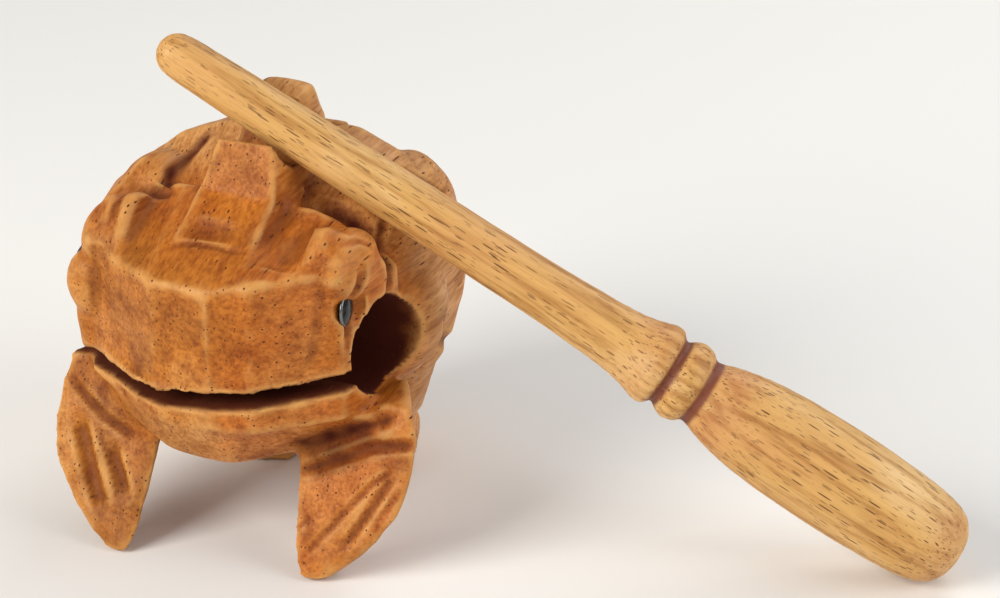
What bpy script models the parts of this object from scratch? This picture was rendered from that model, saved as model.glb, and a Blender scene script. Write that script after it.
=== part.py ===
"""A croaking-frog guiro: one carved frog, two eye tacks and the turned stick that plays it.

Run it with blender --background --python part.py. The frog faces -Y with its feet on z = 0,
and the stick lies across the first notch of its spine with the handle on the ground.
Every shape is worked out in millimetres and made in metres."""

import math

import bmesh
import bpy
from mathutils import Matrix, Vector

MM = 0.001

# Place of the frog's middle, so that the whole object is centred over the origin
FROG_X = -46.08
FROG_Y = -1.7

# The head and its brows are carved a little to one side of the body
HEAD_X = -1.8
BROW_X = -1.2

# Sound chamber and mouth
BORE_RADIUS = 9.0
BORE_Y = -15.0
BORE_Z = 41.0
BORE_SIDES = 48
SLIT_Z = 36.0
SLIT_HEIGHT = 3.0
SLIT_ROLL = math.radians(-4.6)

# Spine: a ridge with a deep first notch for the stick and three shallower ones behind
RIDGE_HALF = 5.2
RIDGE_TOP = ((-14.0, 76.8), (-3.0, 80.6), (2.6, 81.9), (4.8, 81.5), (7.0, 76.0))
RIDGE_BASE = ((-19.0, 65.5, 8.0), (-8.0, 65.5, 8.0), (9.0, 68.0, 5.8))
REAR_RIDGE_TOP = ((8.0, 71.5), (17.0, 69.0), (27.0, 63.0), (36.0, 55.0), (43.0, 45.0))
REAR_RIDGE_BASE = ((6.0, 60.0, 8.0), (42.0, 38.0, 8.0))
NOTCH_RADIUS = 6.2
NOTCH_Y = -7.9
NOTCH_FLOOR_Z = 70.3
REAR_NOTCH_RADIUS = 4.6
REAR_NOTCHES = ((12.5, 73.6), (22.0, 69.4), (32.0, 62.2))
NOTCH_SIDES = 32
NOTCH_CUT = 12.0  # half the length of the first notch's cutter
REAR_NOTCH_CUT = 6.6

# Knife cuts that part the head from the back: points along each floor, the frog's left first
NECK_CREASES = (
    ((8.0, -10.0, 67.5), (18.0, -11.5, 61.5), (30.0, -12.5, 51.0)),
    ((-8.6, -7.5, 70.6), (-14.0, -10.0, 67.2), (-20.5, -13.0, 63.6)),
)
CREASE_HALF_WIDTH = 5.0
CREASE_RISE = 9.0
CREASE_CENTRE_Z = 45.0

# Front feet: panels that lean back from the toe, each with its own shift in x, toe y and lean
HAND_THICKNESS = 7.0
HAND_SWELL = 0.12
HAND_MIDDLE = 24.0
HAND_TAPER = 0.5
HAND_LEFT = (-0.4, -32.8, 0.4)
HAND_RIGHT = (0.3, -36.7, 0.475)

# Eye tacks
TACK_RADIUS = 3.2
TACK_DOME = 1.1
PIN_RADIUS = 0.8
PIN_LENGTH = 6.0
PIN_CLEARANCE = 0.3
SOCKET_HALF_WIDTH = 4.2
SOCKET_HALF_HEIGHT = 5.8
SOCKET_DEPTH = 1.8
SEAT_CLEARANCE = 6.0
EYES = (
    ("left_eye_tack", (24.7, -23.9, 52.2), (1.0, 0.0, 0.06)),
    ("right_eye_tack", (-29.0, -24.0, 53.4), (-0.96, -0.26, 0.06)),
)

# Striker: distance from the tip along the axis, and diameter there
STRIKER_TURN = math.radians(9.2)
STRIKER_CROSSING = (0.0, -8.9, 80.4)
STRIKER_TO_CROSSING = 20.8
STRIKER_SEGMENTS = 28
STRIKER_PROFILE = (
    (0.0, 0.0),
    (0.3, 3.0),
    (1.2, 5.9),
    (2.6, 7.7),
    (4.6, 8.5),
    (20.0, 9.1),
    (45.0, 9.7),
    (70.0, 10.2),
    (88.0, 10.9),
    (95.0, 11.4),
    (99.0, 12.2),
    (102.0, 13.6),
    (104.0, 15.0),
    (105.6, 15.7),
    (106.7, 15.0),
    (107.6, 12.9),
    (108.5, 12.9),
    (109.4, 14.3),
    (110.6, 15.3),
    (111.9, 15.3),
    (113.2, 14.5),
    (114.2, 12.6),
    (115.6, 12.6),
    (117.4, 14.1),
    (120.0, 15.6),
    (124.0, 17.3),
    (129.0, 18.5),
    (136.0, 19.4),
    (144.0, 19.5),
    (152.0, 19.1),
    (158.0, 18.5),
    (162.5, 17.6),
    (165.4, 16.3),
    (167.5, 14.0),
    (169.1, 9.4),
    (169.7, 5.0),
    (169.9, 0.0),
)

WOOD = (0.50, 0.20, 0.055)
TACK_BLACK = (0.02, 0.025, 0.03)
STICK_WOOD = (0.62, 0.38, 0.14)


def clear_scene():
    for obj in list(bpy.data.objects):
        bpy.data.objects.remove(obj, do_unlink=True)


def material(name, colour, roughness, metallic):
    made = bpy.data.materials.new(name)
    made.use_nodes = True
    shader = made.node_tree.nodes["Principled BSDF"]
    shader.inputs["Base Color"].default_value = (*colour, 1.0)
    shader.inputs["Roughness"].default_value = roughness
    shader.inputs["Metallic"].default_value = metallic
    return made


def new_object(name, work, made_of=None):
    """An object from a bmesh in millimetres, which is freed."""
    work.transform(Matrix.Scale(MM, 4))
    mesh = bpy.data.meshes.new(name)
    work.to_mesh(mesh)
    work.free()
    obj = bpy.data.objects.new(name, mesh)
    bpy.context.scene.collection.objects.link(obj)
    if made_of:
        mesh.materials.append(made_of)
    return obj


def helper(name, work):
    """A cutter, which stays out of the model."""
    obj = new_object(name, work)
    obj.hide_render = True
    obj.display_type = "WIRE"
    return obj


def hull(points):
    """The convex shape round some points, as a bmesh."""
    work = bmesh.new()
    made = [work.verts.new(point) for point in points]
    result = bmesh.ops.convex_hull(work, input=made, use_existing_faces=False)
    loose = [item for item in result["geom_interior"] if isinstance(item, bmesh.types.BMVert)]
    bmesh.ops.delete(work, geom=loose, context="VERTS")
    return work


def shifted(points, x):
    return [(px + x, y, z) for px, y, z in points]


def section(y, half_left, half_right, low, high, power=2.3, count=20):
    """A rounded cross-section of the body at y, as points; the frog's right side is at -X."""
    middle = (low + high) / 2
    points = []
    for step in range(count):
        angle = math.tau * step / count
        across = math.copysign(abs(math.cos(angle)) ** (2 / power), math.cos(angle))
        up = math.copysign(abs(math.sin(angle)) ** (2 / power), math.sin(angle))
        half = half_left if across > 0 else half_right
        points.append((half * across, y, middle + (high - low) / 2 * up))
    return points


def ellipsoid(centre, half_sizes, turn=0.0, rings=7, count=14):
    """Points on an ellipsoid, turned about Z."""
    points = []
    for ring in range(rings + 1):
        height = math.cos(math.pi * ring / rings)
        width = math.sin(math.pi * ring / rings)
        for step in range(count):
            angle = math.tau * step / count
            x = half_sizes[0] * width * math.cos(angle)
            y = half_sizes[1] * width * math.sin(angle)
            points.append(
                (
                    centre[0] + x * math.cos(turn) - y * math.sin(turn),
                    centre[1] + x * math.sin(turn) + y * math.cos(turn),
                    centre[2] + half_sizes[2] * height,
                )
            )
    return points


def snout():
    """The upper head: flat faces round the front, and a top that rises to the spine."""
    front = (
        (-25.2, -26.0, 57.4),
        (-15.8, -32.0, 57.0),
        (-5.6, -38.3, 57.4),
        (4.8, -39.2, 57.2),
        (12.8, -37.2, 59.0),
        (20.8, -30.6, 59.3),
        (25.7, -26.2, 59.4),
    )
    points = [(x, y, 30.0) for x, y, _ in front]
    points += front
    points += [(27.6, -19.5, 32.0), (27.6, -19.5, 60.0), (-28.8, -20.0, 32.0), (-28.8, -20.0, 58.0)]
    points += [(29.0, -9.0, 34.0), (29.0, -9.0, 54.0), (-32.0, -9.0, 32.0), (-33.0, -9.0, 54.0)]
    points += [(14.0, -13.0, 65.0), (-14.0, -13.0, 65.5), (22.0, -10.0, 60.0), (-24.0, -10.0, 62.0)]
    return shifted(points, HEAD_X)


def forehead():
    """The wedge that runs from the snout up to the first tooth of the spine."""
    return [
        (-8.0, -36.0, 57.0),
        (7.5, -36.5, 57.4),
        (-7.8, -26.0, 62.4),
        (7.8, -26.0, 62.6),
        (-7.8, -18.6, 67.0),
        (7.8, -18.6, 66.8),
        (-9.0, -8.0, 66.0),
        (9.0, -8.0, 66.0),
        (-9.0, -30.0, 50.0),
        (9.0, -30.0, 50.0),
    ]


def brow(side):
    """The mound over one eye."""
    points = [
        (16.0, -30.5, 58.5),
        (24.8, -28.6, 58.0),
        (27.4, -22.0, 58.4),
        (26.4, -17.0, 57.0),
        (23.0, -15.0, 61.0),
        (24.0, -20.5, 64.0),
        (21.5, -24.6, 63.6),
        (17.0, -21.0, 65.4),
        (16.0, -15.5, 64.0),
        (20.0, -24.0, 50.0),
        (22.0, -12.5, 50.0),
    ]
    return shifted([(side * x, y, z) for x, y, z in points], BROW_X)


def cheek():
    """The frog's right cheek, which is carved fuller than the left."""
    return [
        (-32.6, -22.0, 47.5),
        (-31.6, -25.0, 43.5),
        (-30.6, -25.6, 40.0),
        (-35.0, -16.0, 44.0),
        (-35.0, -10.0, 38.0),
        (-33.0, -16.0, 54.0),
        (-27.5, -16.0, 62.0),
        (-31.5, -6.0, 60.5),
        (-25.0, -6.0, 66.5),
        (-33.0, -12.0, 33.0),
        (-20.0, -12.0, 32.0),
        (-20.0, -12.0, 60.0),
        (-35.5, -4.0, 46.0),
    ]


def ridge(top, base):
    """A stretch of the spine before it is notched, from its top line and the ends of its base."""
    points = []
    for y, z in top:
        points += [(-RIDGE_HALF, y, z), (RIDGE_HALF, y, z)]
    for y, z, half in base:
        points += [(-half, y, z), (half, y, z)]
    return points


def trunk():
    points = section(-9.0, 27.0, 33.5, 24.0, 64.0)
    points += section(4.0, 29.0, 35.4, 21.0, 72.2)
    points += section(11.0, 29.0, 32.0, 19.0, 72.0)
    points += section(22.0, 24.5, 26.0, 19.0, 65.5)
    points += section(33.0, 17.0, 18.5, 22.0, 56.0)
    points += section(42.0, 8.0, 8.0, 28.0, 44.0)
    return points


def jaw():
    """The lower jaw, which the mouth slit parts from the head."""
    plan = (
        (-26.0, -24.5),
        (-20.0, -30.2),
        (-11.4, -36.4),
        (-4.6, -39.6),
        (5.0, -39.6),
        (12.0, -38.0),
        (21.0, -30.8),
        (26.0, -24.0),
    )
    points = [(x, y, 37.5) for x, y in plan]
    points += [(x * 0.96, y + 1.0, 31.0) for x, y in plan]
    points += [(-17.0, -27.0, 23.0), (-6.0, -33.5, 21.4), (6.0, -33.5, 20.8), (16.0, -26.0, 22.0)]
    points += [(-26.0, -8.0, 24.0), (26.0, -8.0, 24.0), (-30.0, -10.0, 36.0), (28.0, -10.0, 36.0)]
    points += [(-12.0, 0.0, 20.0), (12.0, 0.0, 20.0)]
    return shifted(points, HEAD_X)


def hand(side, stance):
    """A webbed front foot: a leaf-shaped panel that leans back from the toe on the ground."""
    outline = (
        (18.8, -0.5),
        (16.0, 0.8),
        (14.6, 5.0),
        (14.0, 12.0),
        (12.8, 21.5),
        (24.0, 31.0),
        (34.2, 32.0),
        (36.6, 26.0),
        (36.8, 20.0),
        (35.2, 13.4),
        (30.6, 7.2),
        (23.4, 1.2),
    )
    shift, toe_y, lean = stance
    points = []
    for x, z in outline:
        front = toe_y + lean * z
        back = front + HAND_THICKNESS + HAND_SWELL * z
        inner = HAND_MIDDLE + HAND_TAPER * (x - HAND_MIDDLE)
        points += [(side * x + shift, front, z), (side * inner + shift, back, z)]
    return points


def arm(side):
    """The short upper arm behind the hand."""
    return [
        (side * x, y, z)
        for x, y, z in (
            (32.4, -21.0, 29.0),
            (34.6, -22.5, 22.0),
            (22.0, -24.0, 31.0),
            (18.0, -20.0, 20.0),
            (24.0, -9.0, 32.0),
            (23.0, -8.0, 24.0),
            (18.0, -4.0, 22.0),
            (25.0, -16.0, 14.0),
            (21.0, -20.0, 12.0),
            (20.0, -6.0, 34.0),
        )
    ]


def haunch(side):
    return ellipsoid((side * 17.4, 15.0, 43.0), (11.6, 19.0, 22.0), side * math.radians(12))


def hind_leg(side):
    """The folded shin under the haunch, which narrows to the ankle."""
    return [
        (side * x, y, z)
        for x, y, z in (
            (22.0, 2.0, 27.0),
            (26.0, 14.0, 30.0),
            (20.0, 30.0, 30.0),
            (6.0, 28.0, 24.0),
            (8.0, 6.0, 22.0),
            (18.5, 11.0, 10.0),
            (16.5, 24.0, 8.0),
            (7.0, 28.0, 7.0),
            (6.0, 15.0, 8.0),
        )
    ]


def hind_foot(side):
    """A flat foot with its toes forward, kept under the body."""
    sole = ((4.5, 8.0), (11.0, 5.5), (18.0, 8.5), (18.5, 15.0), (14.0, 29.0), (7.0, 30.0), (4.0, 18.0))
    points = [(side * x, y, -0.5) for x, y in sole]
    points += [(side * x, y, 3.4) for x, y in sole]
    points += [(side * 14.5, 15.0, 9.0), (side * 7.0, 16.0, 9.0)]
    points += [(side * 13.0, 26.0, 11.0), (side * 7.5, 27.0, 11.0)]
    return points


def masses():
    """Each mass of the carving by name; they overlap, and a Boolean makes one block of them."""
    found = [
        ("forehead", forehead()),
        ("brow_left", brow(1)),
        ("brow_right", brow(-1)),
        ("cheek_right", cheek()),
        ("trunk", trunk()),
        ("jaw", jaw()),
        ("ridge_front", ridge(RIDGE_TOP, RIDGE_BASE)),
        ("ridge_rear", ridge(REAR_RIDGE_TOP, REAR_RIDGE_BASE)),
    ]
    for word, side in (("left", 1), ("right", -1)):
        found.append((f"hand_{word}", hand(side, HAND_LEFT if side > 0 else HAND_RIGHT)))
        found.append((f"arm_{word}", arm(side)))
        found.append((f"haunch_{word}", haunch(side)))
        found.append((f"hind_leg_{word}", hind_leg(side)))
        found.append((f"hind_foot_{word}", hind_foot(side)))
    return found


def cylinder(start, end, radius, sides):
    """A closed cylinder between two points, as a bmesh."""
    work = bmesh.new()
    start = Vector(start)
    along = Vector(end) - start
    turn = along.to_track_quat("Z", "Y").to_matrix().to_4x4()
    place = Matrix.Translation(start + along / 2) @ turn
    bmesh.ops.create_cone(
        work, cap_ends=True, segments=sides, radius1=radius, radius2=radius, depth=along.length, matrix=place
    )
    return work


def slab(centre, sizes, roll=0.0):
    work = bmesh.new()
    place = Matrix.Translation(centre) @ Matrix.Rotation(roll, 4, "Y") @ Matrix.Diagonal((*sizes, 1.0))
    bmesh.ops.create_cube(work, size=1.0, matrix=place)
    return work


def turned(profile, segments):
    """A solid of revolution about Z from (height, diameter) pairs that start and end on the axis."""
    work = bmesh.new()
    rings = []
    for height, diameter in profile:
        if diameter == 0.0:
            rings.append([work.verts.new((0.0, 0.0, height))])
            continue
        ring = []
        for step in range(segments):
            angle = math.tau * step / segments
            x = diameter / 2 * math.cos(angle)
            y = diameter / 2 * math.sin(angle)
            ring.append(work.verts.new((x, y, height)))
        rings.append(ring)
    for lower, upper in zip(rings, rings[1:]):
        for step in range(segments):
            after = (step + 1) % segments
            corners = [lower[step % len(lower)], lower[after % len(lower)]]
            corners += [upper[after % len(upper)], upper[step % len(upper)]]
            work.faces.new(list(dict.fromkeys(corners)))
    bmesh.ops.recalc_face_normals(work, faces=work.faces)
    return work


def facing(direction, place):
    """A matrix that turns +Z to a direction, with +Y kept as near upright as it can be."""
    return Matrix.Translation(place) @ Vector(direction).to_track_quat("Z", "Y").to_matrix().to_4x4()


def crease(points, half_width, rise):
    """A V-shaped knife cut that follows a line of points along its floor."""
    rim = []
    for x, y, z in points:
        out = Vector((x, 0.0, z - CREASE_CENTRE_Z)).normalized() * rise
        rim += [(x, y, z)]
        rim += [(x + out.x, y - half_width, z + out.z), (x + out.x, y + half_width, z + out.z)]
    return hull(rim)


def socket(place, direction):
    """The almond hollow round one eye."""
    work = bmesh.new()
    shape = Matrix.Diagonal((SOCKET_HALF_WIDTH, SOCKET_HALF_HEIGHT, SOCKET_DEPTH, 1.0))
    bmesh.ops.create_icosphere(work, subdivisions=2, radius=1.0, matrix=facing(direction, place) @ shape)
    return work


def tack_seat(place, direction):
    """The flat seat and the pilot hole that take one tack."""
    seat = TACK_RADIUS + PIN_CLEARANCE
    outline = (
        (-PIN_LENGTH - PIN_CLEARANCE, 0.0),
        (-PIN_LENGTH - PIN_CLEARANCE, 2 * (PIN_RADIUS + PIN_CLEARANCE)),
        (-SOCKET_DEPTH - PIN_CLEARANCE, 2 * (PIN_RADIUS + PIN_CLEARANCE)),
        (-SOCKET_DEPTH - PIN_CLEARANCE, 2 * seat),
        (SEAT_CLEARANCE, 2 * seat),
        (SEAT_CLEARANCE, 0.0),
    )
    work = turned(outline, 24)
    work.transform(facing(direction, place))
    return work


def combine(obj, operation, name, work):
    """Adds a Boolean with a hidden helper that moves with the object's frame."""
    modifier = obj.modifiers.new(name, "BOOLEAN")
    modifier.operation = operation
    modifier.solver = "EXACT"
    modifier.object = helper(name, work)
    modifier.object.parent = obj.parent


def cut(obj, name, work):
    combine(obj, "DIFFERENCE", name, work)


def build_frog(frame):
    frog = new_object("frog_body", hull(snout()), material("oiled_hardwood", WOOD, 0.55, 0.0))
    frog.parent = frame
    for name, points in masses():
        combine(frog, "UNION", name, hull(points))
    bore = cylinder((-60, BORE_Y, BORE_Z), (60, BORE_Y, BORE_Z), BORE_RADIUS, BORE_SIDES)
    cut(frog, "bore_cutter", bore)
    slit_back = BORE_Y
    slit_front = -60.0
    centre = (0.0, (slit_back + slit_front) / 2, SLIT_Z)
    cut(frog, "mouth_saw", slab(centre, (120.0, slit_back - slit_front, SLIT_HEIGHT), SLIT_ROLL))
    floor = NOTCH_FLOOR_Z + NOTCH_RADIUS
    notch = cylinder((-NOTCH_CUT, NOTCH_Y, floor), (NOTCH_CUT, NOTCH_Y, floor), NOTCH_RADIUS, NOTCH_SIDES)
    cut(frog, "notch_cutter", notch)
    for number, floor_line in enumerate(NECK_CREASES):
        cut(frog, f"neck_crease_cutter_{number}", crease(floor_line, CREASE_HALF_WIDTH, CREASE_RISE))
    for number, (y, z) in enumerate(REAR_NOTCHES):
        across = cylinder((-REAR_NOTCH_CUT, y, z), (REAR_NOTCH_CUT, y, z), REAR_NOTCH_RADIUS, NOTCH_SIDES)
        cut(frog, f"rear_notch_cutter_{number}", across)
    for name, place, direction in EYES:
        cut(frog, f"{name}_socket", socket(place, direction))
        cut(frog, f"{name}_seat", tack_seat(place, direction))
    cut(frog, "floor_cutter", slab((0, 0, -20.0), (200.0, 200.0, 40.0)))


def build_eyes(frame):
    """Each tack: a domed head that sits in its socket on a plain pin."""
    black = material("domed_tack", TACK_BLACK, 0.15, 0.6)
    base = -SOCKET_DEPTH
    for name, place, direction in EYES:
        profile = [(-PIN_LENGTH, 0.0), (-PIN_LENGTH, 2 * PIN_RADIUS)]
        profile += [(base, 2 * PIN_RADIUS), (base, 2 * TACK_RADIUS)]
        for step in range(1, 5):
            angle = math.pi / 2 * step / 5
            profile.append((base + 0.4 + TACK_DOME * math.sin(angle), 2 * TACK_RADIUS * math.cos(angle)))
        profile.append((base + 0.4 + TACK_DOME, 0.0))
        tack = new_object(name, turned(profile, 24), black)
        tack.data.shade_smooth()
        tack.parent = frame
        tack.matrix_local = Matrix.Translation(Vector(place) * MM) @ facing(direction, (0, 0, 0))


def lowest(slope):
    """Height of the striker's lowest point when its axis falls at this slope."""
    heights = []
    for distance, diameter in STRIKER_PROFILE:
        axis_z = STRIKER_CROSSING[2] - (distance - STRIKER_TO_CROSSING) * math.sin(slope)
        heights.append(axis_z - diameter / 2 * math.cos(slope))
    return min(heights)


def resting_slope():
    """The slope at which the handle just touches the ground."""
    shallow = math.radians(15)
    steep = math.radians(45)
    for _ in range(50):
        middle = (shallow + steep) / 2
        if lowest(middle) > 0:
            shallow = middle
        else:
            steep = middle
    return shallow


def build_striker(frame):
    slope = resting_slope()
    aim = Vector(
        (
            math.cos(slope) * math.cos(STRIKER_TURN),
            math.cos(slope) * math.sin(STRIKER_TURN),
            -math.sin(slope),
        )
    )
    wood = material("turned_wood", STICK_WOOD, 0.6, 0.0)
    striker = new_object("striker", turned(STRIKER_PROFILE, STRIKER_SEGMENTS), wood)
    striker.data.shade_smooth()
    striker.parent = frame
    tip = Vector(STRIKER_CROSSING) - STRIKER_TO_CROSSING * aim
    striker.matrix_local = Matrix.Translation(tip * MM) @ facing(aim, (0, 0, 0))


def main():
    clear_scene()
    frame = bpy.data.objects.new("guiro", None)
    bpy.context.scene.collection.objects.link(frame)
    frame.location = (FROG_X * MM, FROG_Y * MM, 0.0)
    build_frog(frame)
    build_eyes(frame)
    build_striker(frame)


main()
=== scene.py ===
"""The finish of a carved frog guiro: worn knife-cut wood, two tack eyes and a turned stick.

Each piece is worked in millimetres in the frog's own frame, which faces -Y with its feet on the
ground, and is then moved to where the solid model stands."""

import math

import bpy
import numpy as np
from bpy.props import FloatProperty, FloatVectorProperty, IntProperty, PointerProperty
from mathutils import Matrix, Vector, noise


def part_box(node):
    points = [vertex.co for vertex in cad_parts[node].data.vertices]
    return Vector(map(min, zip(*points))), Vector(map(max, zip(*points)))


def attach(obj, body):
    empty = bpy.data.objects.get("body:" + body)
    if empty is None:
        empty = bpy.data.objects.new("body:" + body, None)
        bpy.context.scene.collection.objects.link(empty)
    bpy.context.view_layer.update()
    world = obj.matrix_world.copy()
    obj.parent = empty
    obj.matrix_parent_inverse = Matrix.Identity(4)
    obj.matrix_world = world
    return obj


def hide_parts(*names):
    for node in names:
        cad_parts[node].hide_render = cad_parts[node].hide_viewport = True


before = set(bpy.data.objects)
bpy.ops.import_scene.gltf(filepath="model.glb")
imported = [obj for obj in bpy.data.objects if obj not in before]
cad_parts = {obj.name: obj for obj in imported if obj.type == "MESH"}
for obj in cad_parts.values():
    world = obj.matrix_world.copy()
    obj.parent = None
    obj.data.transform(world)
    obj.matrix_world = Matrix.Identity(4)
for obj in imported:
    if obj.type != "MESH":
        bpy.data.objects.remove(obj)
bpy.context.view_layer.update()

bl_info = {
    "name": "Carved frog guiro",
    "version": (1, 0, 0),
    "blender": (4, 5, 0),
    "location": "3D View > Sidebar > Guiro",
    "description": "Builds a carved frog guiro with its turned stick, its eyes and a plain stage",
    "category": "Add Mesh",
}

MM = 0.001
WELD = 0.000005  # joins the loose triangles of a copied solid

# The frog's own frame: its solid reaches this far to its right and forward
FROG_LOW_X = -36.5
FROG_LOW_Y = -39.6
FROG_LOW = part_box("frog_body")[0]
FROG_ORIGIN = Vector((FROG_LOW.x - FROG_LOW_X * MM, FROG_LOW.y - FROG_LOW_Y * MM, FROG_LOW.z))

# Directions of the cuts
DOWN = (0.0, 0.0, -1.0)
BACK = (0.0, 1.0, 0.0)
INTO_HAND = (0.0, 0.93, -0.37)
FROM_LEFT = (-1.0, 0.0, 0.0)
FROM_RIGHT = (1.0, 0.0, 0.0)
FROM_UPPER_LEFT = (-0.6, 0.0, -0.8)
FROM_UPPER_RIGHT = (0.6, 0.0, -0.8)

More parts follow.
